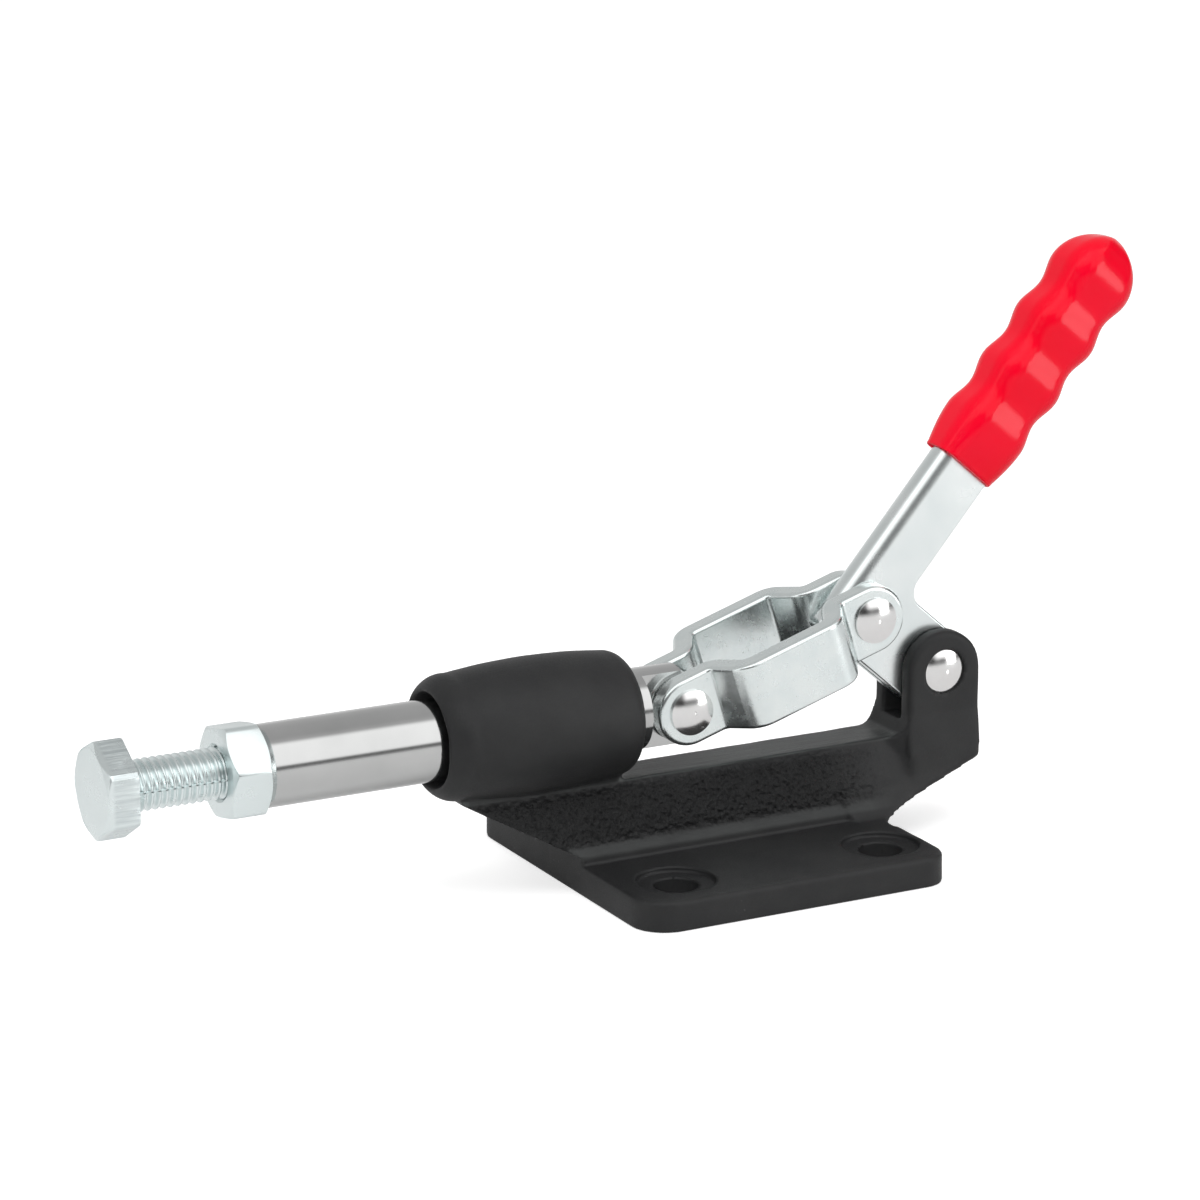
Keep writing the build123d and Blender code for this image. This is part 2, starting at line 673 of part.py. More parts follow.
# ---------------------------------------------------------------- hand grip
def grip_half_sizes(reach):
    """Half depth and half width of the grip's section at a distance from its rim."""
    last_crest = finger_first + finger_count * finger_pitch
    if reach < finger_first:
        open_up = math.sin(math.pi / 2 * reach / finger_first)
        return (
            grip_rim_half_depth + open_up * (grip_half_depth - grip_rim_half_depth),
            grip_rim_half_width + open_up * (grip_half_width - grip_rim_half_width),
        )
    if reach < last_crest:
        dip = (1 - math.cos(2 * math.pi * (reach - finger_first) / finger_pitch)) / 2
        return grip_half_depth - finger_depth * dip, grip_half_width - finger_face_depth * dip
    rise = (reach - last_crest) / (grip_length - last_crest)
    narrowing = (1 - rise**2) ** grip_peak_power
    return grip_half_depth * narrowing, grip_half_width * narrowing


grip_plane = Plane(
    origin=lever_plane.from_local_coords((arm_middle - grip_set_back, grip_start, 0)),
    x_dir=lever_plane.x_dir, z_dir=lever_plane.y_dir,
)
wave_reach = finger_first + finger_count * finger_pitch
rim_stations = [0.0, finger_first / 3, 2 * finger_first / 3]
wave_stations = [finger_first + step * finger_pitch / 4 for step in range(4 * finger_count + 1)]
peak_stations = [wave_reach + share * (grip_length - wave_reach) for share in peak_shares]
with BuildPart() as hand_grip:
    for reach in rim_stations + wave_stations + peak_stations:
        half_depth, half_width = grip_half_sizes(reach)
        with BuildSketch(grip_plane.offset(reach)):
            RectangleRounded(2 * half_depth, 2 * half_width, grip_corner_share * half_width)
    loft()
    # Socket for the arm.
    socket_depth = arm_top - grip_start + grip_gap
    with BuildSketch(grip_plane):
        with Locations((grip_set_back, 0)):
            Rectangle(arm_width + 2 * grip_gap, 2 * (lever_half_width + grip_gap))
    extrude(amount=socket_depth, mode=Mode.SUBTRACT)

hand_grip.part.label = "hand_grip"
export_step(hand_grip.part, "parts/hand_grip.step")


# ---------------------------------------------------------------- rivets
def headed_pin(center, half_grip):
    """Pin along Y with a low domed head at each end, seated at half_grip from the middle."""
    with BuildPart() as pin:
        with BuildSketch(Plane.YZ.offset(center[0])):
            with BuildLine():
                shank = center[2] + rivet_radius
                rim = center[2] + rivet_head_radius
                rim_end = half_grip + rivet_head_edge
                crown = rim_end + rivet_head_crown
                Polyline((-half_grip, shank), (half_grip, shank), (half_grip, rim), (rim_end, rim))
                Polyline((-half_grip, shank), (-half_grip, rim), (-rim_end, rim))
                TangentArc((crown, center[2]), (rim_end, rim), tangent=(0, 1))
                TangentArc((-crown, center[2]), (-rim_end, rim), tangent=(0, 1))
                Line((crown, center[2]), (-crown, center[2]))
            make_face()
        revolve(axis=Axis((center[0], 0, center[2]), (0, 1, 0)))
    return pin.part


base_pin = headed_pin(base_pivot, ear_half_width - pin_recess_depth)
with BuildPart() as rivet_base:
    add(base_pin)
rivet_base.part.label = "rivet_base"
export_step(rivet_base.part, "parts/rivet_base.step")

lever_pin = headed_pin(link_pivot, strap_outer + side_gap)
with BuildPart() as rivet_lever:
    add(lever_pin)
rivet_lever.part.label = "rivet_lever"
export_step(rivet_lever.part, "parts/rivet_lever.step")

plunger_pin = headed_pin(plunger_pivot, strap_outer)
with BuildPart() as rivet_plunger:
    add(plunger_pin)
rivet_plunger.part.label = "rivet_plunger"
export_step(rivet_plunger.part, "parts/rivet_plunger.step")
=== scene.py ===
"""Looks of a push-pull toggle clamp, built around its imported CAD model. Metres, +Z up."""
import math

import bmesh
import bpy
import numpy as np
from mathutils import Matrix, Vector


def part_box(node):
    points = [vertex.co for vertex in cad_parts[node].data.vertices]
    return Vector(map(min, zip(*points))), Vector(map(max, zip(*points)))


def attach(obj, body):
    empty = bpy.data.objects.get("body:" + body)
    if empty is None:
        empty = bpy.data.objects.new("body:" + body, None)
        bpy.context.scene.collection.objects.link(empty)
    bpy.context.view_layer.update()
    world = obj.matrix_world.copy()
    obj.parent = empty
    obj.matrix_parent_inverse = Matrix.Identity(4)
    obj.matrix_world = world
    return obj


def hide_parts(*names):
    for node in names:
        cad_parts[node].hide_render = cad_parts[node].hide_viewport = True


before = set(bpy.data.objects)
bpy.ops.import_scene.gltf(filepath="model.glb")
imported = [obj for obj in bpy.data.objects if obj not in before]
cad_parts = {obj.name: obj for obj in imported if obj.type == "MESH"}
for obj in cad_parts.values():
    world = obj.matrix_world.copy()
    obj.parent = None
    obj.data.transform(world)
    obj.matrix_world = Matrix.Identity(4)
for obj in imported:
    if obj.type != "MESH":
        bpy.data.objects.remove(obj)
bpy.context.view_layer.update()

# ---------------------------------------------------------------- base casting
# The body of the clamp: flange, web, guide barrel and two ears in one iron casting, sand cast,
# with the seats of its four screws spot-faced, and enamelled matt black all over.
MM = 0.001
scene = bpy.context.scene
axis_z = 33.0 * MM
bore = 8.06 * MM
barrel_ends = (25.0 * MM, 59.5 * MM)
pin_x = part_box("rivet_base")[0][0] + 4.55 * MM
hole_half_pitch = (22.8 * MM, 25.5 * MM)
hole_radius = 4.4 * MM
spot_face_radius = 7.8 * MM
recess_radius = 4.63 * MM
wave_height = 0.05 * MM


def joined_copy(node, name):
    """A copy of a CAD node's mesh, its loose triangles joined at their shared corners."""
    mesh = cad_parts[node].data.copy()
    mesh.name = name
    shell = bmesh.new()
    shell.from_mesh(mesh)
    bmesh.ops.remove_doubles(shell, verts=shell.verts, dist=0.002 * MM)
    shell.to_mesh(mesh)
    shell.free()
    piece = bpy.data.objects.new(name, mesh)
    scene.collection.objects.link(piece)
    return piece


def settle_modifiers(piece):
    """Turns the piece's modifiers into its mesh."""
    bpy.context.view_layer.update()
    shaped = piece.evaluated_get(bpy.context.evaluated_depsgraph_get())
    mesh = bpy.data.meshes.new_from_object(shaped)
    piece.modifiers.clear()
    piece.data = mesh


def coordinates(mesh):
    """The mesh's corners as an array of rows."""
    points = np.empty(len(mesh.vertices) * 3)
    mesh.vertices.foreach_get("co", points)
    return points.reshape(-1, 3)


class Finish:
    """A new node material, with short ways to add the nodes that its pattern needs."""

    def __init__(self, name):
        self.material = bpy.data.materials.new(name)
        self.material.use_nodes = True
        self.tree = self.material.node_tree
        self.surface = self.tree.nodes["Principled BSDF"]
        self.place = self.add("ShaderNodeTexCoord").outputs["Object"]

    def add(self, kind, links=(), **settings):
        """A node of a kind, its inputs set by name or linked, and its properties set."""
        node = self.tree.nodes.new(kind)
        for key, value in settings.items():
            setattr(node, key, value)
        for socket, source in dict(links).items():
            target = node.inputs[socket]
            if isinstance(source, bpy.types.NodeSocket):
                self.tree.links.new(source, target)
            else:
                target.default_value = source
        return node

    def stretched(self, scale):
        """The place on the piece, scaled along X, Y and Z."""
        return self.add("ShaderNodeMapping", {"Vector": self.place, "Scale": scale}).outputs[0]

    def noise(self, scale, detail=3.0, rough=0.55, at=None, stretch=None):
        """Noise of a scale, from 0 to 1 about a half."""
        at = at or (self.stretched(stretch) if stretch else self.place)
        node = self.add(
            "ShaderNodeTexNoise",
            {"Vector": at, "Scale": scale, "Detail": detail, "Roughness": rough},
        )
        return node.outputs["Fac"]

    def spread(self, value, low, high, out_low=0.0, out_high=1.0):
        """The value taken from one range to another, and held inside it."""
        return self.add(
            "ShaderNodeMapRange",
            {
                "Value": value, "From Min": low, "From Max": high,
                "To Min": out_low, "To Max": out_high,
            },
        ).outputs["Result"]

    def math(self, operation, first, second=0.0):
        """Arithmetic on one or two values."""
        return self.add(
            "ShaderNodeMath", {0: first, 1: second}, operation=operation
        ).outputs[0]

    def blend(self, share, first, second):
        """A colour between two colours."""
        node = self.add("ShaderNodeMix", data_type="RGBA")
        for socket, source in ((0, share), (6, first), (7, second)):
            if isinstance(source, bpy.types.NodeSocket):
                self.tree.links.new(source, node.inputs[socket])
            else:
                node.inputs[socket].default_value = source
        return node.outputs[2]

    def bump(self, height, distance, strength=1.0, under=None):
        """A bump of a height field, in metres, over an earlier one."""
        links = {"Height": height, "Distance": distance, "Strength": strength}
        if under is not None:
            links["Normal"] = under
        return self.add("ShaderNodeBump", links).outputs["Normal"]

    def set(self, **sockets):
        """Links or sets the shader's own sockets, named with underscores for spaces."""
        for name, source in sockets.items():
            target = self.surface.inputs[name.replace("_", " ")]
            if isinstance(source, bpy.types.NodeSocket):
                self.tree.links.new(source, target)
            else:
                target.default_value = source
        return self.material


def wear(piece, material):
    """Gives the piece one material."""
    piece.data.materials.clear()
    piece.data.materials.append(material)


# The skin of the casting as it is seen: the machined solid with its cast edges softened.
# Holes, spot faces, bore and pin recesses are cut after casting, so they stay sharp and true.
casting = joined_copy("base_casting", "cast_base")
even = casting.modifiers.new("even", "REMESH")
even.mode = "SHARP"
even.octree_depth = 8
even.scale = 0.9
even.sharpness = 1.0
even.use_remove_disconnected = False
settle_modifiers(casting)
points = coordinates(casting.data)
screw = np.stack(
    [np.abs(points[:, 0]) - hole_half_pitch[0], np.abs(points[:, 1]) - hole_half_pitch[1]], axis=1
)
from_screw = np.hypot(screw[:, 0], screw[:, 1])
from_pin = np.hypot(points[:, 0] - pin_x, points[:, 2] - axis_z)
from_axis = np.hypot(points[:, 1], points[:, 2] - axis_z)
in_barrel = (points[:, 0] > barrel_ends[0]) & (points[:, 0] < barrel_ends[1])
sharp = (
    (from_screw < 8.6 * MM)
    | (from_pin < 5.6 * MM)
    | (in_barrel & (from_axis < 9.0 * MM))
)
soft = casting.vertex_groups.new(name="cast")
soft.add(np.nonzero(~sharp)[0].tolist(), 1.0, "REPLACE")
ease = casting.modifiers.new("ease", "SMOOTH")
ease.factor = 0.5
ease.iterations = 6
ease.vertex_group = "cast"
# The thin lip under the upright's foot is worn rounder than the rest.
lip = casting.vertex_groups.new(name="lip")
under_foot = (
    (points[:, 0] < -30.5 * MM)
    & (points[:, 2] > 0.5 * MM)
    & (points[:, 2] < 17.0 * MM)
    & (np.abs(points[:, 1]) < 17.0 * MM)
)
lip.add(np.nonzero(under_foot)[0].tolist(), 1.0, "REPLACE")
rub = casting.modifiers.new("rub", "SMOOTH")
rub.factor = 0.5
rub.iterations = 30
rub.vertex_group = "lip"
settle_modifiers(casting)
points = coordinates(casting.data)
# Slow waves of the sand mould, a few hundredths deep: sums of sines along slanted directions.
wave = (
    np.sin(points @ np.array((310.0, 540.0, 420.0)))
    + np.sin(points @ np.array((-690.0, 270.0, 510.0)) + 1.3)
    + np.sin(points @ np.array((420.0, -880.0, 760.0)) + 2.1)
) / 3
normals = np.empty(len(casting.data.vertices) * 3)
casting.data.vertices.foreach_get("normal", normals)
normals = normals.reshape(-1, 3)
moulded = (~sharp) & (points[:, 2] > 0.4 * MM) & (np.abs(points[:, 1]) > 3.6 * MM)
points += normals * (wave_height * wave * moulded)[:, None]


def seat_on_ring(points, chosen, offset, along, away, radius):
    """Moves the chosen points straight out or in to a radius about an axis."""
    share = np.where(chosen, radius / np.maximum(away, 1e-6), 1.0)
    for axis in range(3):
        if axis != along:
            points[:, axis] = offset[axis] + (points[:, axis] - offset[axis]) * share


seat_on_ring(
    points, in_barrel & (from_axis < 8.5 * MM), (0, 0, axis_z), 0,
    np.hypot(points[:, 1], points[:, 2] - axis_z), bore,
)
screw_x = np.sign(points[:, 0]) * hole_half_pitch[0]
screw_y = np.sign(points[:, 1]) * hole_half_pitch[1]
for radius, low in ((hole_radius, 0.3 * MM), (spot_face_radius, 5.25 * MM)):
    away = np.hypot(points[:, 0] - screw_x, points[:, 1] - screw_y)
    on_wall = np.abs(away - radius) < 0.45 * MM
    on_wall &= (points[:, 2] > low) & (points[:, 2] < 6.15 * MM)
    seat_on_ring(points, on_wall, (screw_x, screw_y, 0), 2, away, radius)
away = np.hypot(points[:, 0] - pin_x, points[:, 2] - axis_z)
on_recess = (np.abs(away - recess_radius) < 0.4 * MM) & (np.abs(points[:, 1]) > 5.8 * MM)
seat_on_ring(points, on_recess, (pin_x, 0, axis_z), 1, away, recess_radius)
casting.data.vertices.foreach_set("co", points.ravel())
casting.data.update()
casting.data.shade_smooth()
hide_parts("base_casting")
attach(casting, "base")

enamel = Finish("matt_black_enamel")
where = enamel.add("ShaderNodeSeparateXYZ", {"Vector": enamel.place}).outputs
side = enamel.math("ABSOLUTE", where["Y"])
fine = enamel.noise(3400.0, 2.0, 0.6)
pitted = enamel.noise(1500.0, 3.0, 0.65)
cracked = enamel.add(
    "ShaderNodeTexVoronoi", {"Vector": enamel.place, "Scale": 900.0}, feature="SMOOTH_F1"
).outputs["Distance"]
patchy = enamel.noise(95.0, 3.0)
# The web's slopes, and the nose under the barrel, keep the rough grain of the sand, and their
# colour is painted darker there as painted shade.
grain_and_shade_part = enamel.math(
    "MULTIPLY", enamel.spread(where["Z"], 0.0088, 0.0112), enamel.spread(where["Z"], 0.0203, 0.0186)
)
grain_and_shade_part = enamel.math("MULTIPLY", grain_and_shade_part, enamel.spread(side, 0.0112, 0.0098))
grain_and_shade_part = enamel.math("MULTIPLY", grain_and_shade_part, enamel.spread(where["X"], -0.036, -0.020))
# Tool lines run along the top of the rail, which was filed flat, and the rail's top is painted a
# lighter grey streaked along them: a painted sheen.
filed = enamel.noise(1.0, 4.0, 0.65, stretch=(90.0, 2600.0, 90.0))
rail_top_and_sheen_part = enamel.math(
    "MULTIPLY", enamel.spread(where["Z"], 0.0200, 0.0204), enamel.spread(where["Z"], 0.0214, 0.0210)
)
rail_top_and_sheen_part = enamel.math("MULTIPLY", rail_top_and_sheen_part, enamel.spread(side, 0.0056, 0.0050))
# Pale grit where the enamel is thin on the flange's upright edges.
flake = enamel.spread(enamel.noise(1100.0, 2.0, 0.6), 0.66, 0.74)
edge_part = enamel.spread(where["Z"], 0.0064, 0.0060)
flake = enamel.math(
    "MULTIPLY", flake, enamel.math("MULTIPLY", edge_part, enamel.spread(patchy, 0.54, 0.66))
)
black = enamel.blend(
    enamel.spread(patchy, 0.35, 0.68), (0.0155, 0.0158, 0.0165, 1), (0.0215, 0.0218, 0.0222, 1)
)
# Painted shade: the slopes and the nose under the barrel are painted darker than the rest.
black = enamel.blend(enamel.math("MULTIPLY", grain_and_shade_part, 0.55), black, (0.0095, 0.0097, 0.0100, 1))
# Painted sheen: the rail's top is painted lighter, streaked by the tool lines.
black = enamel.blend(
    enamel.math("MULTIPLY", rail_top_and_sheen_part, enamel.spread(filed, 0.4, 0.65, 0.2, 0.9)),
    black, (0.075, 0.082, 0.080, 1),
)
# The foot's top corner is painted lighter: a painted highlight along the ridge.
ridge_highlight_part = enamel.math(
    "MULTIPLY", enamel.spread(where["Z"], 0.0070, 0.0079), enamel.spread(where["Z"], 0.0102, 0.0091)
)
ridge_highlight_part = enamel.math("MULTIPLY", ridge_highlight_part, enamel.math(
    "MULTIPLY", enamel.spread(side, 0.0086, 0.0090), enamel.spread(side, 0.0108, 0.0103)
))
ridge_highlight_part = enamel.math("MULTIPLY", ridge_highlight_part, enamel.spread(where["X"], -0.036, -0.030))
# Painted highlight on the foot's top corner.
black = enamel.blend(
    enamel.math("MULTIPLY", ridge_highlight_part, enamel.spread(patchy, 0.3, 0.6, 0.5, 1.0)),
    black, (0.040, 0.042, 0.042, 1),
)
black = enamel.blend(enamel.math("MULTIPLY", flake, 0.35), black, (0.11, 0.11, 0.11, 1))
relief = enamel.math(
    "MULTIPLY", enamel.math("ADD", cracked, enamel.math("MULTIPLY", pitted, 0.7)), grain_and_shade_part
)
smooth_skin = enamel.bump(fine, 0.00003, 0.55, enamel.bump(pitted, 0.00005, 0.4))
filed_skin = enamel.bump(enamel.math("MULTIPLY", filed, rail_top_and_sheen_part), 0.00012, 0.6, smooth_skin)
enamel.set(
    Base_Color=black,
    Roughness=enamel.math(
        "SUBTRACT", enamel.spread(fine, 0.3, 0.7, 0.46, 0.58),
        enamel.math("MULTIPLY", enamel.math("ADD", rail_top_and_sheen_part, grain_and_shade_part), 0.12),
    ),
    Specular_IOR_Level=0.32,
    Normal=enamel.bump(relief, 0.0011, 1.0, filed_skin),
)
wear(casting, enamel.material)

# ---------------------------------------------------------------- plunger
# Bright steel bar of 16 mm that slides in the barrel, centreless ground, so its fine lines
# run round it; it carries the spindle in its tapped nose.
ground = Finish("ground_bar")
lay = ground.noise(1.0, 5.0, 0.7, stretch=(5200.0, 45.0, 45.0))
stain = ground.noise(70.0, 3.0)
ground.set(
    Base_Color=ground.blend(
        ground.spread(stain, 0.3, 0.7), (0.50, 0.503, 0.50, 1), (0.56, 0.563, 0.56, 1)
    ),
    Metallic=1.0,
    Roughness=ground.spread(lay, 0.3, 0.7, 0.09, 0.14),
    Normal=ground.bump(lay, 0.0000012, 0.3),
)
wear(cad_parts["plunger"], ground.material)

# ---------------------------------------------------------------- spindle and lock nut
# Fully threaded M10 screw with a hexagon head, and the thin nut that locks it against the
# plunger's nose: forged and rolled steel, bright zinc plated with a faint blue cast.
flats = 17.0 * MM
thread_pitch = 1.5 * MM
thread_crest = 4.99 * MM
thread_root = 4.08 * MM
nut_turn = -19.0
head_thickness = 6.4 * MM
shank_in_head = 1.2 * MM
corner_slope = math.tan(math.radians(30))


def closed_surface(name, rows, wrap_rows=False):
    """A mesh of quads over rows of points, each row a closed loop; ends shrink to a point."""
    count, around = rows.shape[:2]
    index = np.arange(count * around).reshape(count, around)
    if wrap_rows:
        index = np.vstack([index, index[:1]])
    right = np.roll(index, -1, axis=1)
    faces = np.stack([index[:-1], right[:-1], right[1:], index[1:]], axis=-1).reshape(-1, 4)
    mesh = bpy.data.meshes.new(name)
    mesh.from_pydata(rows.reshape(-1, 3).tolist(), [], faces.tolist())
    shell = bmesh.new()
    shell.from_mesh(mesh)
    bmesh.ops.remove_doubles(shell, verts=shell.verts, dist=0.0004 * MM)
    bmesh.ops.recalc_face_normals(shell, faces=shell.faces)
    shell.to_mesh(mesh)
    shell.free()
    piece = bpy.data.objects.new(name, mesh)
    scene.collection.objects.link(piece)
    return piece


def about_axis(along, radius, angle):
    """Points at a place along the plunger's axis, a radius from it and an angle from +Y."""
    along, radius, angle = np.broadcast_arrays(along, radius, angle)
    return np.stack([along, radius * np.cos(angle), axis_z + radius * np.sin(angle)], axis=-1)


def hexagon(angle, turn):
    """Distance from axis to hexagon: half the width across flats over the cosine of the angle
    from the nearest flat's middle, and never past corners worn round by a quarter millimetre."""
    corner = np.radians(90.0 + turn)
    off = np.mod(angle - corner, np.pi / 3) - np.pi / 6
    return np.minimum(flats / 2 / np.cos(off), flats / np.sqrt(3) - 0.22 * MM)


def shade_by_angle(piece, degrees=32.0):
    """Smooth shading, broken where faces meet at a sharper angle."""
    piece.data.shade_smooth()
    shell = bmesh.new()
    shell.from_mesh(piece.data)
    limit = math.radians(degrees)
    for edge in shell.edges:
        edge.smooth = edge.calc_face_angle(0.0) < limit
    shell.to_mesh(piece.data)
    shell.free()


head_low, head_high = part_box("spindle_bolt")
head_front = head_high[0]
head_rear = head_front - head_thickness
thread_start = head_low[0]
turn = np.radians(np.arange(0.0, 360.0, 3.0))[None, :]
# Shank: the radius climbs and falls once for each pitch along a helix, flat at crest and root.
shank_end = head_rear + shank_in_head
steps = np.arange(0.0, (shank_end - thread_start) / thread_pitch, 1 / 10)[:, None]
helix = thread_start + thread_pitch * (steps - 0.5 + turn / (2 * np.pi))
slope = np.clip(np.abs(np.mod(steps, 1.0) - 0.5) * 2 * 1.32 - 0.16, 0, 1)
depth = thread_root + (thread_crest - thread_root) * slope * slope * (3 - 2 * slope) ** 0.9
depth = np.minimum(depth, thread_crest)
along = np.clip(helix, thread_start, shank_end)
radius = np.minimum(depth, thread_root - 0.1 * MM + (along - thread_start))
# Past its end, inside the head, every row closes on one ring.
radius = np.where(helix < shank_end, radius, thread_root)
shank = about_axis(along, radius, turn)
end = about_axis(thread_start, np.array([[0.0], [2.0], [4.0]]) * MM, turn)
# Head: a flat hexagon, its outer corners turned off at thirty degrees by a cone.
around = hexagon(turn, 0.0)
cone_start = head_front - (around - flats / 2) * corner_slope - 0.10 * MM
inner_end = about_axis(shank_end, np.array([[3.0], [0.0]]) * MM, turn)
bolt_shank = closed_surface("bolt_shank", np.concatenate([end, shank, inner_end]))
head_rows = [
    about_axis(head_rear, 0 * turn, turn),
    about_axis(head_rear, 6.0 * MM + 0 * turn, turn),
    about_axis(head_rear, around - 0.30 * MM, turn),
    about_axis(head_rear + 0.10 * MM, around - 0.09 * MM, turn),
    about_axis(head_rear + 0.32 * MM, around, turn),
    about_axis(head_rear + 3.0 * MM + 0 * turn, around, turn),
    about_axis(cone_start - 0.12 * MM, around, turn),
    about_axis(cone_start + 0.10 * MM, around - 0.16 * MM, turn),
    about_axis(head_front - 0.14 * MM, flats / 2 - 0.12 * MM + 0 * turn, turn),
    about_axis(head_front - 0.03 * MM, flats / 2 - 0.32 * MM + 0 * turn, turn),
    about_axis(head_front, flats / 2 - 0.60 * MM + 0 * turn, turn),
    about_axis(head_front, 4.0 * MM + 0 * turn, turn),
    about_axis(head_front, 0 * turn, turn),
]
bolt_head = closed_surface("bolt_head", np.concatenate(head_rows))
nut_rear, nut_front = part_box("lock_nut")[0][0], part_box("lock_nut")[1][0]
around = hexagon(turn, nut_turn)
cut = (around - flats / 2) * corner_slope + 0.08 * MM
rim = flats / 2 - 0.15 * MM
mouth = 5.65 * MM
nut_rows = [
    about_axis(nut_rear, mouth + 0 * turn, turn),
    about_axis(nut_rear, rim - 0.25 * MM + 0 * turn, turn),
    about_axis(nut_rear + 0.06 * MM, rim + 0 * turn, turn),
    about_axis(nut_rear + cut, around - 0.05 * MM, turn),
    about_axis(nut_rear + cut + 0.15 * MM, around, turn),
    about_axis(nut_front - cut - 0.15 * MM, around, turn),
    about_axis(nut_front - cut, around - 0.05 * MM, turn),
    about_axis(nut_front - 0.06 * MM, rim + 0 * turn, turn),
    about_axis(nut_front, rim - 0.25 * MM + 0 * turn, turn),
    about_axis(nut_front, mouth + 0 * turn, turn),
    about_axis(nut_front - 0.6 * MM, 5.06 * MM + 0 * turn, turn),
    about_axis(nut_rear + 0.6 * MM, 5.06 * MM + 0 * turn, turn),
]
nut = closed_surface("thin_nut", np.concatenate(nut_rows), wrap_rows=True)
shade_by_angle(bolt_shank, 60.0)
shade_by_angle(bolt_head, 22.0)
shade_by_angle(nut, 22.0)
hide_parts("spindle_bolt")
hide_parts("lock_nut")
for piece, body in ((bolt_shank, "spindle"), (bolt_head, "spindle"), (nut, "lock_nut")):
    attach(piece, body)

fastener = Finish("bright_zinc_fastener")
cloud = fastener.noise(240.0, 4.0, 0.6)
tiny = fastener.noise(2400.0, 3.0, 0.6)
# Drawing lines run along the hexagon's sides.
place = fastener.add("ShaderNodeSeparateXYZ", {"Vector": fastener.place}).outputs
drawn = fastener.noise(1.0, 4.0, 0.75, stretch=(45.0, 1500.0, 1500.0))
# They show where the head was sheared, and stop short of its turned face.
sheared = fastener.math(
    "MULTIPLY",
    fastener.spread(place["X"], head_front - 0.9 * MM, head_front - 1.6 * MM),
    fastener.spread(place["X"], head_rear - 0.2 * MM, head_rear + 0.2 * MM),
)
lines = fastener.math("MULTIPLY", fastener.spread(drawn, 0.38, 0.58), sheared)
fastener.set(
    Base_Color=fastener.blend(
        fastener.math("MULTIPLY", lines, 0.8), (0.80, 0.865, 0.865, 1), (0.60, 0.66, 0.67, 1)
    ),
    Metallic=1.0,
    Roughness=fastener.spread(cloud, 0.3, 0.7, 0.25, 0.34),
    Normal=fastener.bump(lines, 0.00006, 0.5, fastener.bump(tiny, 0.000004, 0.3)),
)
for piece in (bolt_shank, bolt_head, nut):
    wear(piece, fastener.material)

# ---------------------------------------------------------------- strap links
# Two straps of 4 mm steel, blanked, bowed outwards clear of the plunger in a press and zinc
# plated; rolled skin shows on the faces and the blanked edges are tumbled smooth.
plated = Finish("zinc_plated_strap")
cloud = plated.noise(130.0, 4.0, 0.6)
tiny = plated.noise(2600.0, 3.0, 0.6)
spots = plated.noise(420.0, 3.0, 0.65)
plated.set(
    Base_Color=plated.blend(
        plated.spread(cloud, 0.35, 0.7), (0.76, 0.82, 0.82, 1), (0.84, 0.885, 0.875, 1)
    ),
    Metallic=1.0,
    Roughness=plated.spread(spots, 0.3, 0.7, 0.20, 0.30),
    Normal=plated.bump(
        tiny, 0.000004, 0.3, plated.bump(spots, 0.00002, 0.3, plated.bump(cloud, 0.00012, 0.3))
    ),
)
for node in ("link_left", "link_right"):
    wear(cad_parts[node], plated.material)

# ---------------------------------------------------------------- lever handle
# One steel sheet folded along its front into two flanges, pierced for the pins and plated
# with the links.
sheet = Finish("zinc_plated_sheet")
cloud = sheet.noise(90.0, 4.0, 0.6)
tiny = sheet.noise(2600.0, 3.0, 0.6)
# The rolling lines run along the arm.
along_arm = sheet.add(
    "ShaderNodeMapping", {"Vector": sheet.place, "Rotation": (0.0, math.radians(-49.1), 0.0)}
)
drawn_out = sheet.add(
    "ShaderNodeMapping", {"Vector": along_arm.outputs[0], "Scale": (1400.0, 300.0, 60.0)}
)
rolled = sheet.noise(1.0, 4.0, 0.65, at=drawn_out.outputs[0])
sheet.set(
    Base_Color=sheet.blend(
        sheet.spread(cloud, 0.35, 0.7), (0.79, 0.84, 0.84, 1), (0.86, 0.895, 0.89, 1)
    ),
    Metallic=1.0,
    Roughness=sheet.spread(cloud, 0.3, 0.7, 0.22, 0.29),
    Normal=sheet.bump(
        tiny, 0.000004, 0.3, sheet.bump(rolled, 0.000001, 0.2, sheet.bump(cloud, 0.00008, 0.3))
    ),
)
wear(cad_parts["lever_handle"], sheet.material)

# ---------------------------------------------------------------- rivets
# Three turned steel pins, their ends closed to low domes in a spinning riveter and left bare.
steel = Finish("rivet_steel")
swirl = steel.noise(700.0, 3.0)
steel.set(
    Base_Color=steel.blend(swirl, (0.72, 0.715, 0.71, 1), (0.80, 0.795, 0.79, 1)),
    Metallic=1.0,
    Roughness=steel.spread(swirl, 0.3, 0.7, 0.12, 0.17),
    Normal=steel.bump(swirl, 0.00001, 0.25),
)
for node in ("rivet_base", "rivet_lever", "rivet_plunger"):
    wear(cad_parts[node], steel.material)

# ---------------------------------------------------------------- hand grip
# Dipped vinyl sleeve pushed over the end of the lever, red and glossy, with three finger waves,
# a rolled rim and a closed pointed end.  Its sizes are in millimetres, along and across the arm.
grip_start = 34.6
grip_length = 56.1
rim_half = (7.4, 4.9)
full_half = (8.5, 6.6)
wave_depth = (1.1, 0.8)
wave_first = 9.4
wave_pitch = 12.3
wave_end = wave_first + 3 * wave_pitch
peak_power = 0.62
corner_share = 0.7
rim_bead = 0.8
socket_half = (6.6, 3.25)
socket_corner = 0.15
socket_aside = 0.25
socket_ends = (48.45, 4.0)
lean = math.radians(40.9)
lever_pin = (pin_x, 0.0, axis_z)
forwards = np.array((math.cos(lean), 0.0, math.sin(lean)))
upwards = np.array((-math.sin(lean), 0.0, math.cos(lean)))
arm_front = 28.5
arm_depth = 13.1
arm_middle = arm_front - arm_depth / 2 - socket_aside


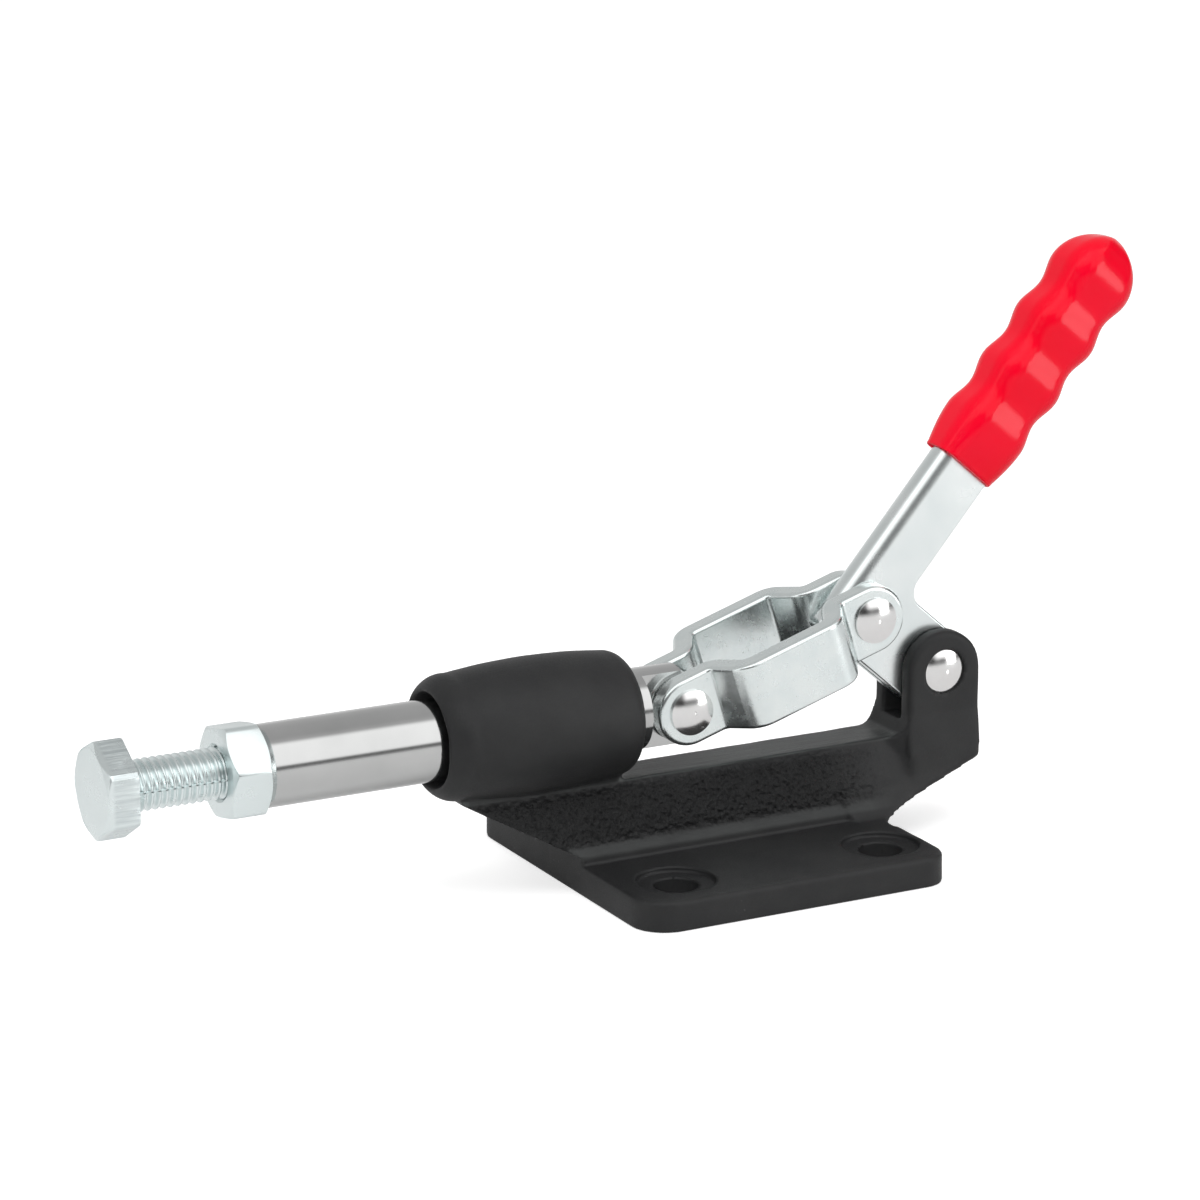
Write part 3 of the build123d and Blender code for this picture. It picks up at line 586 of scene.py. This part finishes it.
def half_size(reach, part):
    """Half depth (part 0) or half width (part 1): opens from the rim by a quarter sine, dips by
    a raised cosine once for each finger, then closes to the tip as a power of the unit circle."""
    opening = np.sin(np.pi / 2 * np.clip(reach / wave_first, 0, 1))
    dip = (1 - np.cos(2 * np.pi * (reach - wave_first) / wave_pitch)) / 2
    dip = np.where((reach > wave_first) & (reach < wave_end), dip, 0.0)
    closing = np.clip((reach - wave_end) / (grip_length - wave_end), 0, 1)
    body = rim_half[part] + opening * (full_half[part] - rim_half[part]) - wave_depth[part] * dip
    return body * (1 - closing**2) ** peak_power


def rounded_section(half_depth, half_width, corner):
    """One loop of points round a rectangle with round corners, with equal counts on each side:
    four straight runs, and four quarter circles about the corners' centres."""
    quarter = np.linspace(0, np.pi / 2, 9)
    run = np.linspace(0, 1, 8)[1:-1]
    parts = []
    for number in range(4):
        turned = quarter + number * np.pi / 2
        sign_depth = (1, -1, -1, 1)[number]
        sign_width = (1, 1, -1, -1)[number]
        centre_depth = sign_depth * (half_depth - corner)
        centre_width = sign_width * (half_width - corner)
        arc = np.stack(
            [centre_depth + corner * np.cos(turned), centre_width + corner * np.sin(turned)],
            axis=-1,
        )
        next_depth = (-1, -1, 1, 1)[number] * (half_depth - corner)
        next_width = (1, -1, -1, 1)[number] * (half_width - corner)
        turned = (number + 1) * np.pi / 2
        start = arc[..., -1, :]
        finish = np.concatenate(
            [next_depth + corner * np.cos(turned), next_width + corner * np.sin(turned)], axis=-1
        )
        straight = start[:, None, :] + (finish - start)[:, None, :] * run[None, :, None]
        parts += [arc, straight]
    return np.concatenate(parts, axis=1)


def grip_rows(reach, half_depth, half_width, corner, shift=0.0):
    """Rows of points at each reach up the arm, from sections of the given half sizes."""
    section = rounded_section(half_depth[:, None], half_width[:, None], corner[:, None])
    up = (grip_start + reach)[:, None, None] * MM * upwards
    aside = np.broadcast_to(shift, reach.shape)[:, None]
    depth = (arm_middle + aside + section[..., 0])[..., None] * MM * forwards
    width = section[..., 1][..., None] * MM * np.array((0.0, 1.0, 0.0))
    return np.array(lever_pin) + up + depth + width


peak = np.sin(np.linspace(0, np.pi / 2, 26))
reach = np.concatenate(
    [np.linspace(rim_bead, wave_end, 150), wave_end + (grip_length - wave_end) * peak[1:]]
)
outer_depth, outer_width = half_size(reach, 0), half_size(reach, 1)
outer = grip_rows(reach, outer_depth, outer_width, corner_share * outer_width)
# Rolled rim: a half circle from the outside to the socket's mouth.
bead = np.linspace(0, np.pi, 9)[::-1]
lip_reach = rim_bead - rim_bead * np.sin(bead)
lip_share = (1 + np.cos(bead)) / 2
lip_depth = socket_half[0] + (half_size(rim_bead, 0) - socket_half[0]) * lip_share
lip_width = socket_half[1] + (half_size(rim_bead, 1) - socket_half[1]) * lip_share
lip_corner = socket_corner + (corner_share * half_size(rim_bead, 1) - socket_corner) * lip_share
lip = grip_rows(lip_reach, lip_depth, lip_width, lip_corner, socket_aside * (1 - lip_share))
one = np.ones(2)
inside = grip_rows(
    np.array(socket_ends), socket_half[0] * one, socket_half[1] * one, socket_corner * one,
    socket_aside,
)
ceiling = grip_rows(
    np.array(socket_ends[:1]), np.array([1e-4]), np.array([1e-4]), np.array([5e-5]), socket_aside
)
hand_grip = closed_surface("dipped_grip", np.concatenate([ceiling, inside, lip, outer]))
shade_by_angle(hand_grip, 60.0)
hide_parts("hand_grip")
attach(hand_grip, "handle")

vinyl = Finish("red_vinyl")
skin = vinyl.noise(500.0, 3.0)
slow = vinyl.noise(60.0, 2.0)
vinyl.set(
    Base_Color=vinyl.blend(
        vinyl.spread(slow, 0.3, 0.7), (0.92, 0.0, 0.018, 1), (0.96, 0.0002, 0.024, 1)
    ),
    Roughness=vinyl.spread(skin, 0.3, 0.7, 0.12, 0.17),
    Specular_IOR_Level=0.20,
    Normal=vinyl.bump(skin, 0.000015, 0.3, vinyl.bump(slow, 0.0002, 0.2)),
)
wear(hand_grip, vinyl.material)

# ---------------------------------------------------------------- stage
# A white table, a soft studio round the clamp, and the camera.
paper = Finish("white_paper")
bpy.ops.mesh.primitive_circle_add(vertices=96, radius=1.6, fill_type="NGON", location=(0, 0, 0))
floor = bpy.context.object
floor.name = "floor"
shade = paper.noise(3.0)
rays = paper.add("ShaderNodeLightPath").outputs
seen = paper.math("MAXIMUM", rays["Is Camera Ray"], rays["Is Transmission Ray"])
level = paper.math(
    "MAXIMUM",
    paper.math("MULTIPLY", seen, 0.62),
    paper.math("MULTIPLY", rays["Is Glossy Ray"], 0.12),
)
paper.set(
    Base_Color=paper.blend(shade, (0.79, 0.79, 0.79, 1), (0.81, 0.81, 0.81, 1)),
    Roughness=0.9,
    Specular_IOR_Level=0.1,
    Emission_Color=(1, 1, 1, 1),
    Emission_Strength=level,
)
wear(floor, paper.material)

# The room is white to the eye.  Gloss sees a soft tent: bright overhead towards the bench, a
# narrow dark seam below that, and greyer walls.
world = bpy.data.worlds.new("studio")
scene.world = world
world.use_nodes = True
sky = world.node_tree
background = sky.nodes["Background"]
background.inputs["Color"].default_value = (1, 1, 1, 1)


def sky_node(kind, links=(), **settings):
    """A node of the world, its inputs set or linked."""
    node = sky.nodes.new(kind)
    for key, value in settings.items():
        setattr(node, key, value)
    for socket, source in dict(links).items():
        if isinstance(source, bpy.types.NodeSocket):
            sky.links.new(source, node.inputs[socket])
        else:
            node.inputs[socket].default_value = source
    return node


def set_stops(ramp, stops):
    """Sets a ramp's stops, given as degrees from -180 to 180 and a grey level each."""
    while len(ramp.elements) < len(stops):
        ramp.elements.new(0.5)
    for element, (degrees, strength) in zip(ramp.elements, stops):
        element.position = degrees / 360 + 0.5
        element.color = (strength, strength, strength, 1)


def sky_math(operation, first, second):
    """Arithmetic on two values of the world."""
    return sky_node("ShaderNodeMath", {0: first, 1: second}, operation=operation).outputs[0]


def full_turn(first, second):
    """The angle whose tangent is first over second, as a share of a turn from 0 to 1."""
    angle = sky_math("ARCTAN2", first, second)
    return sky_math("ADD", sky_math("DIVIDE", angle, 2 * math.pi), 0.5)


def grey_ramp(value, stops):
    """Greys along a value from 0 to 1, by stops in degrees."""
    ramp = sky_node("ShaderNodeValToRGB", {"Fac": value})
    set_stops(ramp.color_ramp, stops)
    return ramp.outputs["Color"]


away = sky_node("ShaderNodeTexCoord").outputs["Generated"]
direction = sky_node("ShaderNodeSeparateXYZ", {0: away}).outputs
tent = grey_ramp(full_turn(direction["Y"], direction["Z"]), (
    (-180, 0.6), (-104, 0.85), (-88, 0.85), (-70, 0.62), (-40, 0.55), (0, 0.52), (12, 0.62),
    (22, 1.5), (77, 1.45), (82.5, 0.2), (87, 0.2), (91, 0.6), (112, 0.7), (180, 0.8),
))
# Two dark flags stand beside the camera, from the horizon to half way up.
flags = grey_ramp(full_turn(direction["X"], direction["Y"]), (
    (-180, 0.0), (-118, 0.0), (-108, 1.0), (-58, 1.0), (-50, 0.0), (-12, 0.0), (-4, 1.0),
    (62, 1.0), (72, 0.0), (180, 0.0),
))
height = sky_math("ADD", sky_math("MULTIPLY", direction["Z"], 0.5), 0.5)
storey = grey_ramp(height, (
    (-180, 0.0), (0, 0.0), (9, 1.0), (90, 1.0), (104, 0.0), (180, 0.0),
))
dark = sky_math("MULTIPLY", sky_math("MULTIPLY", flags, storey), -0.88)
lit = sky_math("MULTIPLY", tent, sky_math("ADD", dark, 1.0))
rays = sky_node("ShaderNodeLightPath").outputs
plain = sky_node("ShaderNodeMix", {0: rays["Is Camera Ray"], 2: 0.50, 3: 1.0})
strength = sky_node("ShaderNodeMix", {0: rays["Is Glossy Ray"], 2: plain.outputs[0], 3: lit})
sky.links.new(strength.outputs[0], background.inputs["Strength"])

aim = Vector((0.02567, 0.0, 0.05595))


def softbox(name, place, size, power, mirrored=False):
    """A square lamp that faces the clamp; only a mirrored one shows in gloss."""
    lamp = bpy.data.lights.new(name, "AREA")
    lamp.energy = power
    lamp.shape = "RECTANGLE"
    lamp.size, lamp.size_y = size
    holder = bpy.data.objects.new(name, lamp)
    scene.collection.objects.link(holder)
    holder.location = place
    holder.rotation_euler = (aim - Vector(place)).to_track_quat("-Z", "Y").to_euler()
    holder.visible_camera = False
    holder.visible_glossy = mirrored
    return holder


softbox("lamp_top", (0.1, 0.25, 0.9), (0.7, 0.7), 3.6)
softbox("lamp_front_left", (0.7, 0.7, 0.45), (0.5, 0.5), 2.4)
softbox("lamp_right", (-0.571, 0.569, 0.12), (0.26, 0.24), 0.8, mirrored=True)

azimuth, elevation, roll = math.radians(152.35), math.radians(15.34), math.radians(-0.17)
reach = 0.8767
back = Vector((
    math.sin(azimuth) * math.cos(elevation),
    -math.cos(azimuth) * math.cos(elevation),
    math.sin(elevation),
))
lens = bpy.data.cameras.new("camera")
lens.sensor_width = 36.0
lens.lens = 136.2
camera = bpy.data.objects.new("camera", lens)
scene.collection.objects.link(camera)
camera.location = aim + reach * back
camera.rotation_euler = (
    back.to_track_quat("Z", "Y") @ Matrix.Rotation(roll, 3, "Z").to_quaternion()
).to_euler()
scene.camera = camera
scene.view_settings.view_transform = "Standard"
